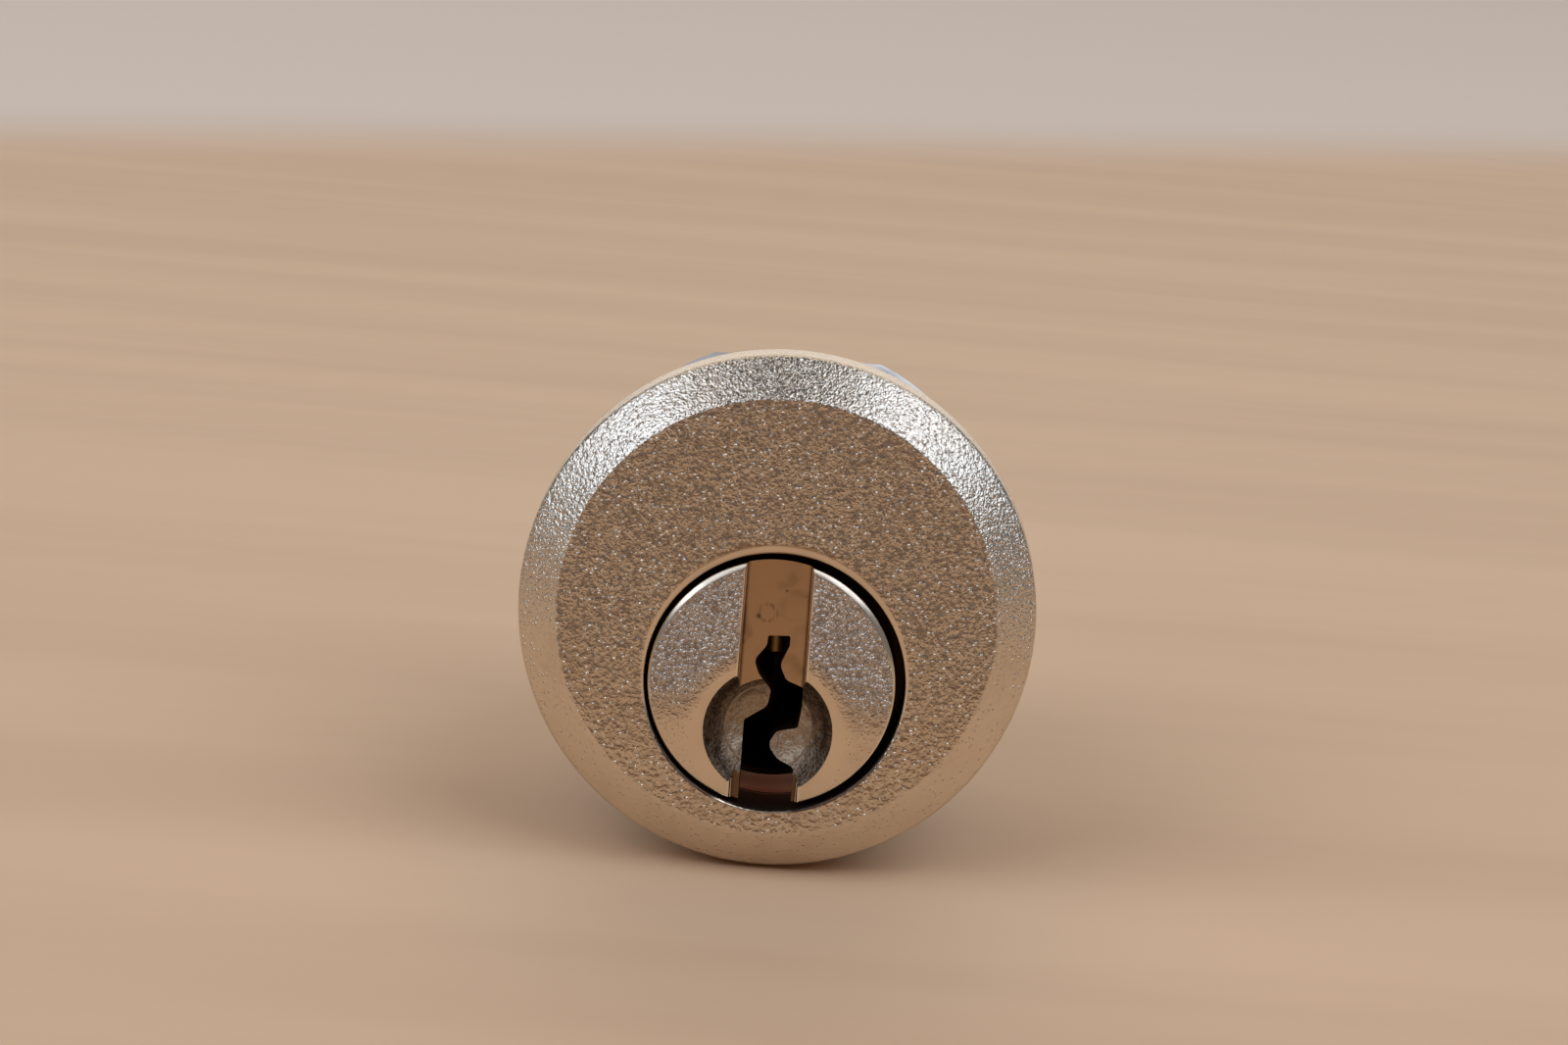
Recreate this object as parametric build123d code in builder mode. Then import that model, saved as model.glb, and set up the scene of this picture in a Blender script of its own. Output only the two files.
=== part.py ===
"""Pin tumbler cam lock for a tool cabinet.

A round nickel-plated head with a bevelled rim carries a threaded barrel that goes through the
cabinet's panel. The plug sits below the middle of the head, so that four pin stacks fit above it
inside the barrel. Turning the plug half a turn swings the cam at its tail from behind the barrel,
where it passes through the panel's hole, down behind the cabinet's frame.

Millimetres, +Z up. The lock's long axis is Y: the face looks towards -Y and the cam is at +Y.
The origin is on the barrel's axis, in the plane of the head's back face, which seats on the panel.
"""

from build123d import *

import os
from math import asin, cos, degrees, pi, radians, sin

os.makedirs("parts", exist_ok=True)

# Head
head_radius = 12.75
head_thickness = 4.0
bevel_width = 1.95
bevel_depth = 1.75
face_edge_radius = 0.2
rim_edge_radius = 0.5
head_back_chamfer = 0.2

# Barrel and its thread
barrel_radius = 11.11
flat_height = 10.25
plain_collar = 3.0
thread_pitch = 0.94
thread_depth = 0.5
thread_crest = 0.12
barrel_end_wall = 0.85
barrel_end_chamfer = 0.7

# Plug
plug_drop = 3.3
plug_body_radius = 5.25
flange_radius = 6.07
flange_thickness = 5.0
flange_chamfer = 0.25
face_crown = 0.25
face_recess = 0.05
mouth_clearance = 0.32
mouth_chamfer = 0.3
bore_chamfer = 0.25
running_clearance = 0.05
axial_clearance = 0.05

# Key slot, thumb cup and keyway in the plug's face
slot_width = 3.0
slot_depth = 0.7
cup_radius = 3.17
cup_depth = 1.7
cup_drop = 2.44
keyway_end_room = 1.8
keyway_overcut = 0.6

# Pin stacks
pin_count = 4
pin_pitch = 3.5
first_pin_setback = 2.1
pin_radius = 1.45
pin_clearance = 0.05
pin_tip_rounding = 1.0
pin_edge_chamfer = 0.25
pin_tip_heights = [0.1, 0.8, 0.45, 1.15]
key_pin_top_gap = 0.15
driver_length = 3.0

# Pin springs
spring_wire = 0.3
spring_mean_radius = 1.1
spring_turns = 5
spring_end_gap = 0.02

# Chamber cover
cover_top_width = 3.6
cover_thickness = 0.9
cover_flare = 0.3
cover_front_room = 0.5
cover_fit = 0.02

# Retaining clip
clip_thickness = 0.6
clip_outer_radius = 6.1
clip_groove_radius = 4.4
clip_opening = 95.0
clip_end_radius = 0.4
plug_shoulder = 0.5

# Stop pin and stop washer
stop_pin_radius = 0.6
stop_pin_orbit = 6.9
stop_pin_depth = 1.6
stop_pin_fit = 0.02
stop_pin_end_room = 0.2
stop_gap = 0.03
stop_washer_thickness = 1.0
stop_hub_radius = 5.2
stop_lobe_radius = 7.2
stop_corner_radius = 0.3
half_turn = 180.0

# Tail and cam
tail_width = 6.0
tail_corner = 0.5
tail_fit = 0.05
tail_relief = 0.12
cam_thickness = 2.0
cam_hub_radius = 5.2
cam_width = 8.0
cam_reach = 12.6
cam_corner = 1.2
cam_edge_radius = 0.25

# Cam washer and cam screw
washer_outer_radius = 3.6
washer_inner_radius = 2.15
washer_thickness = 0.9
washer_split = 0.5
screw_radius = 1.95
screw_hole_clearance = 0.05
screw_reach = 3.3
screw_tip_room = 0.3
screw_tip_chamfer = 0.35
screw_head_radius = 3.8
screw_head_height = 2.3
screw_head_rounding = 1.1
driver_recess_width = 1.0
driver_recess_span = 4.4
driver_recess_depth = 1.3
driver_recess_taper = 14.0

# Places along the lock, worked out from the sizes
face_y = -head_thickness
side_front_y = face_y + bevel_depth
plug_face_y = face_y + face_recess
flange_back_y = plug_face_y + flange_thickness
counterbore_y = flange_back_y + axial_clearance
pin_places = [flange_back_y + first_pin_setback + i * pin_pitch for i in range(pin_count)]
chamber_radius = pin_radius + pin_clearance
keyway_end_y = pin_places[-1] + keyway_end_room
barrel_length = pin_places[-1] + chamber_radius + barrel_end_wall
cover_groove_y = pin_places[0] - chamber_radius - cover_front_room
clip_front_y = barrel_length + axial_clearance
clip_back_y = clip_front_y + clip_thickness
clip_groove_back_y = clip_back_y + axial_clearance
tail_front_y = clip_groove_back_y + plug_shoulder
stop_back_y = tail_front_y + stop_washer_thickness
cam_back_y = stop_back_y + cam_thickness
tail_end_y = cam_back_y - tail_relief
washer_back_y = cam_back_y + washer_thickness
screw_head_back_y = washer_back_y + screw_head_height

# Places up and down, worked out from the sizes
plug_z = -plug_drop
bore_radius = plug_body_radius + running_clearance
mouth_radius = flange_radius + mouth_clearance
key_pin_top = plug_body_radius - key_pin_top_gap
driver_bottom = bore_radius
driver_top = driver_bottom + driver_length
cover_bottom_z = flat_height - cover_thickness

plug_axis = Axis((0, 0, plug_z), (0, 1, 0))


def across(y, z=0.0):
    """A plane square to the lock's axis at y, seen from the front: its own Y points up from height z."""
    return Plane(origin=(0, y, z), x_dir=(1, 0, 0), z_dir=(0, -1, 0))


def upright_axis(y):
    """The centre line of the pin stack at y."""
    return Axis((0, y, 0), (0, 0, 1))


def pointed_end(tip, radius, rounding):
    """Draws half of a pointed lower end, a rounded tip and a 45 degree cone, and gives its last point."""
    tip_reach = rounding * sin(radians(45))
    cone_start = tip + rounding - tip_reach
    rounded_tip = TangentArc((0, tip), (tip_reach, cone_start), tangent=(1, 0))
    cone = Line(rounded_tip @ 1, (radius, cone_start + radius - tip_reach))
    return cone @ 1


def finish(piece, name):
    """Labels a finished piece and writes it to its own file."""
    piece.part.label = name
    export_step(piece.part, f"parts/{name}.step")


# Cylinder shell: the plated head and barrel in one piece. It has a counterbore and a bore for the
# plug, pin chambers drilled down from the flat, an undercut groove for their cover and a hole for
# the stop pin. The thread is cut as rings of the right pitch and depth.
groove_half_width = (thread_pitch - thread_crest) / 2
groove_overrun = 0.2
groove_mouth_half_width = groove_half_width * (thread_depth + groove_overrun) / thread_depth
groove_count = int((barrel_length - barrel_end_chamfer - plain_collar) / thread_pitch)


def dovetail(play):
    """Corners of the cover groove's section, drawn in all round by the play."""
    top = cover_top_width / 2 - play
    bottom = top + cover_flare
    low = cover_bottom_z + play
    return [(-bottom, low), (bottom, low), (top, flat_height), (-top, flat_height)]


with BuildPart() as cylinder_shell:
    with BuildSketch(Plane.YZ):
        with BuildLine():
            FilletPolyline(
                (face_y, 0),
                (face_y, head_radius - bevel_width),
                (side_front_y, head_radius),
                (0, head_radius),
                (0, 0),
                radius=[face_edge_radius, rim_edge_radius, 0],
            )
            Line((0, 0), (face_y, 0))
        make_face()
    revolve(axis=Axis.Y)
    head_back_edge = cylinder_shell.edges().filter_by(GeomType.CIRCLE).sort_by(Axis.Y)[-1]
    chamfer(head_back_edge, length=head_back_chamfer)

    with BuildSketch(across(0)):
        Circle(barrel_radius)
    extrude(amount=-barrel_length)
    barrel_end_edge = cylinder_shell.edges().filter_by(GeomType.CIRCLE).sort_by(Axis.Y)[-1]
    chamfer(barrel_end_edge, length=barrel_end_chamfer)

    with BuildSketch(Plane.YZ):
        for i in range(groove_count):
            groove_y = plain_collar + (i + 0.5) * thread_pitch
            with BuildLine():
                Polyline(
                    (groove_y, barrel_radius - thread_depth),
                    (groove_y - groove_mouth_half_width, barrel_radius + groove_overrun),
                    (groove_y + groove_mouth_half_width, barrel_radius + groove_overrun),
                    close=True,
                )
            make_face()
    revolve(axis=Axis.Y, mode=Mode.SUBTRACT)

    with BuildSketch(across(0)):
        with Locations((0, flat_height)):
            Rectangle(2 * barrel_radius, barrel_radius, align=(Align.CENTER, Align.MIN))
    extrude(amount=-barrel_length, mode=Mode.SUBTRACT)

    with BuildSketch(across(cover_groove_y)):
        with BuildLine():
            Polyline(*dovetail(0), close=True)
        make_face()
    extrude(amount=cover_groove_y - barrel_length, mode=Mode.SUBTRACT)

    with BuildSketch(Plane.YZ):
        with BuildLine():
            Polyline(
                (face_y, plug_z),
                (face_y, plug_z + mouth_radius + mouth_chamfer),
                (face_y + mouth_chamfer, plug_z + mouth_radius),
                (counterbore_y, plug_z + mouth_radius),
                (counterbore_y, plug_z + bore_radius + bore_chamfer),
                (counterbore_y + bore_chamfer, plug_z + bore_radius),
                (barrel_length, plug_z + bore_radius),
                (barrel_length, plug_z),
                close=True,
            )
        make_face()
    revolve(axis=plug_axis, mode=Mode.SUBTRACT)

    with BuildSketch(Plane.XY.offset(plug_z)):
        with Locations(*[(0, y) for y in pin_places]):
            Circle(chamber_radius)
    extrude(amount=flat_height - plug_z, mode=Mode.SUBTRACT)

    with BuildSketch(across(barrel_length, plug_z)):
        with Locations((stop_pin_orbit, 0)):
            Circle(stop_pin_radius + stop_pin_fit)
    extrude(amount=stop_pin_depth, mode=Mode.SUBTRACT)

finish(cylinder_shell, "cylinder_shell")


# Plug: the part that turns. Its flange fills the counterbore, with a slightly crowned face, and its
# body fills the bore. Behind the barrel it has a groove for the clip, a shoulder and a square tail
# with a hole for the cam screw. Heights in the plug are measured from its own axis. A key pin can
# drop until its tip reaches that axis.
keyway_bottom = -(flange_radius + keyway_overcut)
keyway_corners = [
    (-0.33, 2.28),
    (-0.36, 1.78),
    (-0.92, 1.02),
    (-0.68, 0.38),
    (0.02, -0.52),
    (-0.12, -1.42),
    (-1.22, -2.16),
    (-1.20, keyway_bottom),
    (1.40, keyway_bottom),
    (1.40, -4.28),
    (0.55, -3.95),
    (0.06, -3.35),
    (0.42, -2.66),
    (1.46, -2.36),
    (1.60, -1.20),
    (1.56, -0.18),
    (0.72, 0.12),
    (0.36, 0.85),
    (0.77, 1.85),
    (0.76, 2.34),
]
keyway_roundings = [
    *[0.08, 0.35, 0.40, 0.40, 0.45, 0.50, 0.15],
    *[0, 0],
    *[0.20, 0.42, 0.42, 0.42, 0.20, 0.60, 0.12, 0.40, 0.50, 0.35, 0.10],
]
cup_sphere_radius = (cup_radius**2 + cup_depth**2) / (2 * cup_depth)
chamber_top = plug_body_radius + running_clearance

with BuildPart() as plug:
    with BuildSketch(Plane.YZ):
        with BuildLine():
            crown = TangentArc(
                (plug_face_y, plug_z),
                (plug_face_y + face_crown, plug_z + flange_radius - flange_chamfer),
                tangent=(0, 1),
            )
            Polyline(
                crown @ 1,
                (plug_face_y + face_crown + flange_chamfer, plug_z + flange_radius),
                (flange_back_y, plug_z + flange_radius),
                (flange_back_y, plug_z),
                crown @ 0,
            )
        make_face()
    revolve(axis=plug_axis)

    with BuildSketch(across(flange_back_y, plug_z)):
        Circle(plug_body_radius)
    extrude(amount=flange_back_y - tail_front_y)
    with BuildSketch(across(barrel_length, plug_z)):
        Circle(plug_body_radius + running_clearance)
        Circle(clip_groove_radius, mode=Mode.SUBTRACT)
    extrude(amount=barrel_length - clip_groove_back_y, mode=Mode.SUBTRACT)

    with BuildSketch(across(tail_front_y, plug_z)):
        RectangleRounded(tail_width, tail_width, tail_corner)
    extrude(amount=tail_front_y - tail_end_y)
    with BuildSketch(across(tail_end_y, plug_z)):
        Circle(screw_radius + screw_hole_clearance)
    extrude(amount=screw_reach + screw_tip_room, mode=Mode.SUBTRACT)

    with BuildSketch(across(plug_face_y, plug_z)):
        Rectangle(slot_width, 2 * flange_radius)
    extrude(amount=-slot_depth, mode=Mode.SUBTRACT)
    with Locations((0, plug_face_y + cup_depth - cup_sphere_radius, plug_z - cup_drop)):
        Sphere(cup_sphere_radius, mode=Mode.SUBTRACT)
    with BuildSketch(across(plug_face_y, plug_z)):
        with BuildLine():
            FilletPolyline(*keyway_corners, radius=keyway_roundings, close=True)
        make_face()
    extrude(amount=plug_face_y - keyway_end_y, mode=Mode.SUBTRACT)

    for stack_y in pin_places:
        with BuildSketch(across(stack_y, plug_z)):
            with BuildLine():
                floor_rim = pointed_end(-pin_clearance, chamber_radius, pin_tip_rounding + pin_clearance)
                Polyline(floor_rim, (chamber_radius, chamber_top), (0, chamber_top), (0, -pin_clearance))
            make_face()
        revolve(axis=upright_axis(stack_y), mode=Mode.SUBTRACT)

finish(plug, "plug")


# Key pins: pointed brass pins in the plug, one to each chamber. They are kept lifted to the plug's
# edge, as the right key holds them, so that the plug is free to turn.
for i, (stack_y, tip) in enumerate(zip(pin_places, pin_tip_heights)):
    with BuildPart() as key_pin:
        with BuildSketch(across(stack_y, plug_z)):
            with BuildLine():
                cone_end = pointed_end(tip, pin_radius, pin_tip_rounding)
                Polyline(
                    cone_end,
                    (pin_radius, key_pin_top - pin_edge_chamfer),
                    (pin_radius - pin_edge_chamfer, key_pin_top),
                    (0, key_pin_top),
                    (0, tip),
                )
            make_face()
        revolve(axis=upright_axis(stack_y))
    finish(key_pin, f"key_pin_{i + 1}")


# Driver pins: plain brass pins in the barrel, above the key pins
for i, stack_y in enumerate(pin_places):
    with BuildPart() as driver_pin:
        with BuildSketch(across(stack_y, plug_z)):
            with BuildLine():
                Polyline(
                    (0, driver_bottom),
                    (pin_radius - pin_edge_chamfer, driver_bottom),
                    (pin_radius, driver_bottom + pin_edge_chamfer),
                    (pin_radius, driver_top - pin_edge_chamfer),
                    (pin_radius - pin_edge_chamfer, driver_top),
                    (0, driver_top),
                    close=True,
                )
            make_face()
        revolve(axis=upright_axis(stack_y))
    finish(driver_pin, f"driver_pin_{i + 1}")


# Pin springs: one open coil between each driver pin and the cover. The wire's centre line is drawn
# as pairs of arcs, two to a quarter turn, which meet in line with each other.
spring_start_z = plug_z + driver_top + spring_end_gap + spring_wire / 2
spring_end_z = cover_bottom_z - spring_end_gap - spring_wire / 2
spring_pitch = (spring_end_z - spring_start_z) / spring_turns
quarters = 4 * spring_turns


def coil_point(quarter):
    """Where the spring wire's centre is, a number of quarter turns up from the start."""
    angle = quarter * pi / 2
    height = spring_start_z + quarter * spring_pitch / 4
    return Vector(spring_mean_radius * cos(angle), spring_mean_radius * sin(angle), height)


def coil_direction(quarter):
    """Which way the spring wire runs there."""
    angle = quarter * pi / 2
    rise = spring_pitch / (2 * pi * spring_mean_radius)
    return Vector(-sin(angle), cos(angle), rise).normalized()


def coil_arm(quarter):
    """How far along both end directions of a quarter turn its pair of arcs takes its corners."""
    chord = coil_point(quarter + 1) - coil_point(quarter)
    first, last = coil_direction(quarter), coil_direction(quarter + 1)
    along = chord.dot(first + last)
    opening = 2 * (1 - first.dot(last))
    return (((along**2) + opening * chord.dot(chord)) ** 0.5 - along) / opening


for i, stack_y in enumerate(pin_places):
    place = Vector(0, stack_y, 0)
    with BuildPart() as pin_spring:
        with BuildLine():
            for quarter in range(quarters):
                start = place + coil_point(quarter)
                end = place + coil_point(quarter + 1)
                first_corner = start + coil_direction(quarter) * coil_arm(quarter)
                last_corner = end - coil_direction(quarter + 1) * coil_arm(quarter)
                middle = (first_corner + last_corner) / 2
                TangentArc(start, middle, tangent=coil_direction(quarter))
                TangentArc(middle, end, tangent=last_corner - first_corner)
        with BuildSketch(Plane(origin=place + coil_point(0), z_dir=coil_direction(0))):
            Circle(spring_wire / 2)
        sweep()
    finish(pin_spring, f"pin_spring_{i + 1}")

print(f"spring pitch {spring_pitch:.3f}, gap between turns {spring_pitch - spring_wire:.3f}")


# Chamber cover: a brass strip that slides into the undercut groove from the back and keeps the
# springs in
with BuildPart() as chamber_cover:
    with BuildSketch(across(cover_groove_y + cover_fit)):
        with BuildLine():
            Polyline(*dovetail(cover_fit), close=True)
        make_face()
    extrude(amount=cover_groove_y + cover_fit - barrel_length)

finish(chamber_cover, "chamber_cover")


# Plug clip: a steel C-clip in the plug's groove, which keeps the plug from coming out at the front
clip_inner_radius = clip_groove_radius + running_clearance
wedge_length = 2 * clip_outer_radius
wedge_x = wedge_length * sin(radians(clip_opening / 2))
wedge_y = wedge_length * cos(radians(clip_opening / 2))

with BuildPart() as plug_clip:
    with BuildSketch(across(clip_front_y, plug_z)) as clip_section:
        Circle(clip_outer_radius)
        Circle(clip_inner_radius, mode=Mode.SUBTRACT)
        with BuildLine():
            Polyline((0, 0), (-wedge_x, -wedge_y), (wedge_x, -wedge_y), close=True)
        make_face(mode=Mode.SUBTRACT)
        fillet(clip_section.vertices(), radius=clip_end_radius)
    extrude(amount=-clip_thickness)

finish(plug_clip, "plug_clip")


# Stop pin: pressed into the barrel's end. The stop washer's lobe meets it at both ends of the turn.
with BuildPart() as stop_pin:
    with BuildSketch(across(barrel_length - stop_pin_depth, plug_z)):
        with Locations((stop_pin_orbit, 0)):
            Circle(stop_pin_radius)
    extrude(amount=barrel_length - stop_pin_depth - (stop_back_y - stop_pin_end_room))

finish(stop_pin, "stop_pin")


# Stop washer: keyed to the tail. Its lobe points down at rest, with one end by the stop pin.
stop_half_angle = degrees(asin((stop_pin_radius + stop_gap) / stop_pin_orbit))
lobe_angle = 360 - half_turn - 2 * stop_half_angle
lobe_start = -stop_half_angle - lobe_angle
tail_hole_width = tail_width + 2 * tail_fit

with BuildPart() as stop_washer:
    with BuildSketch(across(tail_front_y, plug_z)) as stop_section:
        with BuildLine():
            lobe_rim = CenterArc((0, 0), stop_lobe_radius, lobe_start, lobe_angle)
            Line((0, 0), lobe_rim @ 0)
            Line(lobe_rim @ 1, (0, 0))
        make_face()
        Circle(stop_hub_radius)
        fillet(stop_section.vertices().sort_by_distance((0, 0))[-2:], radius=stop_corner_radius)
        RectangleRounded(tail_hole_width, tail_hole_width, tail_corner, mode=Mode.SUBTRACT)
    extrude(amount=-stop_washer_thickness)

finish(stop_washer, "stop_washer")


# Cam: a stamped plate, keyed to the tail and short enough to pass through the panel's hole with the
# barrel while it points up
with BuildPart() as cam:
    with BuildSketch(across(stop_back_y, plug_z)) as cam_section:
        Rectangle(cam_width, cam_reach, align=(Align.CENTER, Align.MIN))
        fillet(cam_section.vertices().group_by(Axis.Y)[-1], radius=cam_corner)
        Circle(cam_hub_radius)
    extrude(amount=-cam_thickness)
    cam_faces = cam.faces().filter_by(Axis.Y)
    fillet(cam_faces.edges(), radius=cam_edge_radius)
    with BuildSketch(across(stop_back_y, plug_z)):
        RectangleRounded(tail_hole_width, tail_hole_width, tail_corner)
    extrude(amount=-cam_thickness, mode=Mode.SUBTRACT)

finish(cam, "cam")


# Cam washer: a split spring washer under the screw's head, drawn flat as it is when tightened
with BuildPart() as cam_washer:
    with BuildSketch(across(cam_back_y, plug_z)):
        Circle(washer_outer_radius)
        Circle(washer_inner_radius, mode=Mode.SUBTRACT)
        Rectangle(washer_split, washer_outer_radius, align=(Align.CENTER, Align.MAX), mode=Mode.SUBTRACT)
    extrude(amount=-washer_thickness)

finish(cam_washer, "cam_washer")


# Cam screw: a pan head screw with a cross recess, which holds the cam on the tail
screw_tip_y = tail_end_y - screw_reach
with BuildPart() as cam_screw:
    with BuildSketch(Plane.YZ):
        with BuildLine():
            FilletPolyline(
                (screw_tip_y, plug_z),
                (screw_tip_y, plug_z + screw_radius - screw_tip_chamfer),
                (screw_tip_y + screw_tip_chamfer, plug_z + screw_radius),
                (washer_back_y, plug_z + screw_radius),
                (washer_back_y, plug_z + screw_head_radius),
                (screw_head_back_y, plug_z + screw_head_radius),
                (screw_head_back_y, plug_z),
                radius=[0, 0, 0, 0, screw_head_rounding],
            )
            Line((screw_head_back_y, plug_z), (screw_tip_y, plug_z))
        make_face()
    revolve(axis=plug_axis)
    with BuildSketch(across(screw_head_back_y, plug_z)):
        Rectangle(driver_recess_width, driver_recess_span)
        Rectangle(driver_recess_span, driver_recess_width)
    extrude(amount=driver_recess_depth, taper=driver_recess_taper, mode=Mode.SUBTRACT)

finish(cam_screw, "cam_screw")
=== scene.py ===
from math import asin, atan2, cos, pi, radians, sin, sqrt, tan

import bmesh
import bpy
from mathutils import Matrix, Vector, noise


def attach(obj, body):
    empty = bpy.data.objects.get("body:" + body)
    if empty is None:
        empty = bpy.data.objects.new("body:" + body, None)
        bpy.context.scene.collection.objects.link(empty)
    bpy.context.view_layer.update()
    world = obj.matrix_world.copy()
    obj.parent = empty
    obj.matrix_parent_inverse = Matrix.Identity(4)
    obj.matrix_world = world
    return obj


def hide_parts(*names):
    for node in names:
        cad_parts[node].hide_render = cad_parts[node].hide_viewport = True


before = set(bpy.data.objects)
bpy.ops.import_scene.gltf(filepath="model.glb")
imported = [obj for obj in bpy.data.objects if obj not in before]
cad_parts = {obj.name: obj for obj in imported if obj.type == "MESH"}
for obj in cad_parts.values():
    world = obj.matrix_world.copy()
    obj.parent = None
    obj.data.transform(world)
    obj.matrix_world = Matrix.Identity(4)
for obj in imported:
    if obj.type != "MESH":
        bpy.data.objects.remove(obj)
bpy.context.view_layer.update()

# Head: the front of the cylinder, cast in one piece with the barrel and bright nickel plated over its
# pebbled skin. A sloping bevel runs round it, and the round mouth for the plug sits below its middle.
# Sizes are in millimetres: radius, place along the lock's axis, and centre given across and up.
mm = 0.001
plug_centre = Vector((0, -3.3))
head_radius = 12.745
face_radius = 10.8
face_place = -4.0
bevel_place = -2.25
face_edge_rounding = 0.2
rim_rounding = 0.5
head_back_chamfer = 0.2
mouth_radius = 6.39
mouth_rounding = 0.22
mouth_centre = plug_centre + Vector((0.146, 0.09))
mouth_edge_lift = Vector((0, 0.06))
smooth_ring_centre = mouth_centre + Vector((0, 0.38))
smooth_ring_radius = 6.45
skin_wake_width = 0.3
skin_pebble_width = 0.30
skin_pebble_depth = 0.026
skin_crumb_width = 0.22
skin_crumb_depth = 0.008
skin_wave_width = 2.6
skin_wave_depth = 0.008
bevel_begins = (10.7, 11.0)
bevel_calm = 0.6
rim_side_begins = (12, 12.5)
rim_side_front = (-2.3, -1.9)
rim_side_back = (-0.5, -0.3)
rim_side_share = 0.2
head_segments = 700
wall_rings = 3
wall_front_room = 0.6
mouth_edge_steps = 7
face_rings = 74
face_edge_room = 0.08
bevel_rings = 24
bevel_edge_room = 0.24
rim_side_rings = 12
nickel_colour = (0.785, 0.68, 0.54, 1)
skin_nickel_colour = (0.705, 0.635, 0.54, 1)
dull_nickel_colour = (0.66, 0.555, 0.44, 1)
# The dark of the dips in the cast skin: dirt and painted shade together. It also smears the painted shade in
# the mouth.
dirt_and_shade_colour = (0.12, 0.072, 0.045, 1)
# The mouth's wall, and a rim of its edge that widens towards the bottom, are painted dark as shade where the
# plug keeps the light out. A patch low down, behind the plug's slot, stays bright nickel where light comes
# in.
mouth_shade_colour = (0.06, 0.052, 0.045, 1)
shaded_edge_share = 0.7
wall_edge_room = 0.06
lit_edge_place = -0.5
lit_edge_half = 2.1
lit_edge_fade = 0.6
lit_edge_front = -3.75
lit_edge_back = -3.55


def first_ring(mesh, segments, radius, place, centre=(0, 0)):
    """Starts a turned shape with a circle across the lock's axis."""
    stand = Matrix.Translation(Vector((centre[0], place, centre[1])) * mm) @ Matrix.Rotation(pi / 2, 4, "X")
    bmesh.ops.create_circle(mesh, cap_ends=False, segments=segments, radius=radius * mm, matrix=stand)
    circle = [edge for edge in mesh.edges if not edge.link_faces]
    return circle, radius, place, Vector(centre)


def next_ring(mesh, ring, radius, place, centre=None):
    """Pulls the shape's last ring out to a new radius, place and centre."""
    edges, old_radius, old_place, old_centre = ring
    centre = old_centre if centre is None else Vector(centre)
    pulled = bmesh.ops.extrude_edge_only(mesh, edges=edges)["geom"]
    verts = [part for part in pulled if isinstance(part, bmesh.types.BMVert)]
    grow = radius / old_radius
    to_middle = Matrix.Translation(Vector((-old_centre.x, -old_place, -old_centre.y)) * mm)
    bmesh.ops.scale(mesh, vec=(grow, 1, grow), space=to_middle, verts=verts)
    step = Vector((centre.x - old_centre.x, place - old_place, centre.y - old_centre.y))
    bmesh.ops.translate(mesh, vec=step * mm, verts=verts)
    edges = [part for part in pulled if isinstance(part, bmesh.types.BMEdge)]
    return edges, radius, place, centre


def rings_to(mesh, ring, radius, place, centre=None, count=1):
    """Pulls the last ring out in even steps."""
    _, old_radius, old_place, old_centre = ring
    centre = old_centre if centre is None else Vector(centre)
    for i in range(1, count + 1):
        part = i / count
        between = old_radius + part * (radius - old_radius), old_place + part * (place - old_place)
        ring = next_ring(mesh, ring, *between, old_centre.lerp(centre, part))
    return ring


def rounded_to(mesh, ring, corner, after, rounding, count=4):
    """Runs straight to a corner of the profile and round it, on the way to the point after it."""
    corner = Vector(corner)
    back = (Vector((ring[1], ring[2])) - corner).normalized()
    onward = (Vector(after) - corner).normalized()
    half_angle = back.angle(onward) / 2
    centre = corner + (back + onward).normalized() * rounding / sin(half_angle)
    spoke = corner + back * rounding / tan(half_angle) - centre
    last_spoke = corner + onward * rounding / tan(half_angle) - centre
    turn = atan2(spoke.cross(last_spoke), spoke.dot(last_spoke))
    for i in range(count + 1):
        point = centre + Matrix.Rotation(turn * i / count, 2) @ spoke
        ring = next_ring(mesh, ring, point.x, point.y)
    return ring


def close_up(mesh, ring):
    """Draws the last ring together to a point on its axis."""
    verts = list({vert for edge in ring[0] for vert in edge.verts})
    bmesh.ops.pointmerge(mesh, verts=verts, merge_co=Vector((ring[3].x, ring[2], ring[3].y)) * mm)


def make_piece(mesh, name, smooth_angle=30):
    """Turns a finished mesh into an object, shaded smooth except over its sharp edges."""
    bmesh.ops.recalc_face_normals(mesh, faces=mesh.faces)
    data = bpy.data.meshes.new(name)
    mesh.to_mesh(data)
    mesh.free()
    data.shade_smooth()
    data.set_sharp_from_angle(angle=radians(smooth_angle))
    piece = bpy.data.objects.new(name, data)
    bpy.context.collection.objects.link(piece)
    return piece


def ease(value, low, high):
    """0 below low, 1 above high and a smooth run between them."""
    part = max(0.0, min(1.0, (value - low) / (high - low)))
    return part * part * (3 - 2 * part)


def cast_skin(point):
    """How far the cast skin stands out at a point, in millimetres and never above the even surface: round
    pebbles and small crumbs on a slight waviness."""
    near = noise.voronoi(point / (skin_pebble_width * mm))[0][0]
    crumbs = noise.noise(point / (skin_crumb_width * mm))
    wave = noise.noise(point / (skin_wave_width * mm))
    pebbles = -skin_pebble_depth * near * near
    return pebbles + skin_crumb_depth * (crumbs - 1) + skin_wave_depth * (wave - 1)


def raise_skin(mesh, share):
    """Moves each vertex out by the cast skin's height there, times the share that the place has of it."""
    bmesh.ops.recalc_face_normals(mesh, faces=mesh.faces)
    mesh.normal_update()
    moves = [vert.normal * cast_skin(vert.co) * share(vert.co / mm) * mm for vert in mesh.verts]
    for vert, move in zip(mesh.verts, moves):
        vert.co += move


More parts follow.
